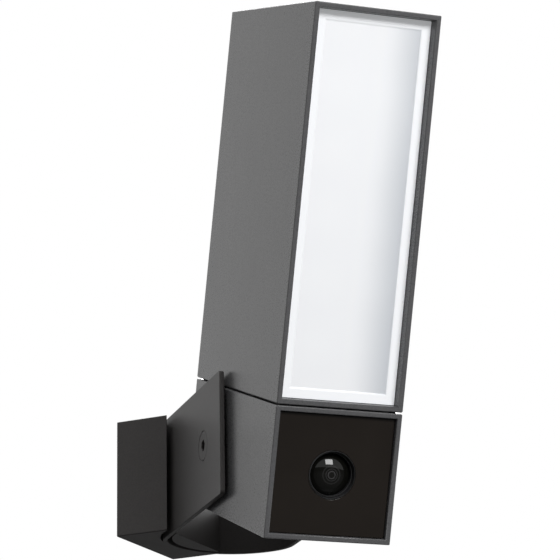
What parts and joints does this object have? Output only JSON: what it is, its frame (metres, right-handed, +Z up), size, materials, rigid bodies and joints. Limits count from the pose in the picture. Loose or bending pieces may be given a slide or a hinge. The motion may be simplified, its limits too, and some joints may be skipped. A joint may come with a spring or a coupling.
{
  "type": "floodlight security camera",
  "caption": "Outdoor camera with a tall lamp module above a square camera module, carried by a U-shaped bracket that pans in a small wall base and lets the head tilt.",
  "frame": {"origin": "centre of the wall base on the wall plane, midway between the two wall screws", "axes": "+Y into the wall, -Y out of the wall into the room, +X to the right as seen from in front, +Z up"},
  "size_m": [0.1821, 0.1895, 0.2261],
  "materials": {
    "graphite_paint": "fine satin grain",
    "base_paint": "fine satin grain",
    "steel": "satin",
    "aluminium_plate": "mill finish",
    "brass": "turned",
    "black_rubber": "matt",
    "black_plastic": "matt",
    "circuit_board": "solder mask",
    "black_glass": "polished",
    "lens_glass": "polished",
    "diffuser_white": "translucent satin",
    "white_plastic": "matt",
    "lamp_diode": "gloss",
    "winding_tape": "tape",
    "capacitor_sleeve": "gloss"
  },
  "bodies": {
    "wall_base": {"wall_gasket": "black_rubber", "wall_plate": "steel", "base_shell": "base_paint", "clamp_core": "base_paint", "core_pad": "black_rubber", "clamp_screws": "steel", "cable_grommet": "black_rubber"},
    "bracket_arm": {"bracket": "base_paint"},
    "head": {"pivot_screws": "base_paint", "friction_washers": "black_rubber", "pivot_inserts": "brass", "camera_housing": "graphite_paint", "front_glass": "black_glass", "glass_gasket": "black_rubber", "lens_bezel": "black_plastic", "lens_barrel": "black_plastic", "lens_front_element": "lens_glass", "lens_rear_element": "lens_glass", "lens_mount": "black_plastic", "filter_motor": "brass", "sensor_board": "circuit_board", "image_sensor": "black_plastic", "ir_led_board": "circuit_board", "ir_leds": "black_plastic", "front_chassis": "black_plastic", "chassis_screws": "steel", "main_board": "circuit_board", "board_screws": "steel", "processor": "black_plastic", "heat_sink": "aluminium_plate", "wifi_antenna": "white_plastic", "microphone": "brass", "card_socket": "steel", "memory_card": "black_plastic", "hatch_seal": "black_rubber", "card_hatch": "graphite_paint", "hatch_screws": "steel", "cable_gland": "black_plastic", "gland_nut": "brass", "terminal_block": "white_plastic", "module_seal": "black_rubber", "joining_screws": "steel", "lamp_housing": "graphite_paint", "diffuser": "diffuser_white", "diffuser_gasket": "black_rubber", "reflector_tray": "white_plastic", "led_board": "white_plastic", "leds": "lamp_diode", "led_screws": "steel", "heat_spreader": "aluminium_plate", "spreader_screws": "steel", "driver_posts": "brass", "driver_board": "circuit_board", "transformer": "winding_tape", "capacitors": "capacitor_sleeve", "driver_cover": "white_plastic"},
    "ir_filter": {"ir_filter_frame": "steel", "ir_filter_glass": "lens_glass"}
  },
  "joints": [
    {"name": "pan", "type": "hinge", "parent": "wall_base", "child": "bracket_arm", "pos_m": [0, -0.042, 0], "axis": [0, 0, 1], "range_deg": [-4, 96]},
    {"name": "tilt", "type": "hinge", "parent": "bracket_arm", "child": "head", "pos_m": [-0.03503, -0.07583, 0], "axis": [0.6947, -0.7193, 0], "range_deg": [-31, 29]},
    {"name": "ir_filter_slide", "type": "slide", "parent": "head", "child": "ir_filter", "axis": [0.6947, -0.7193, 0], "range_m": [0, 0.006]}
  ]
}
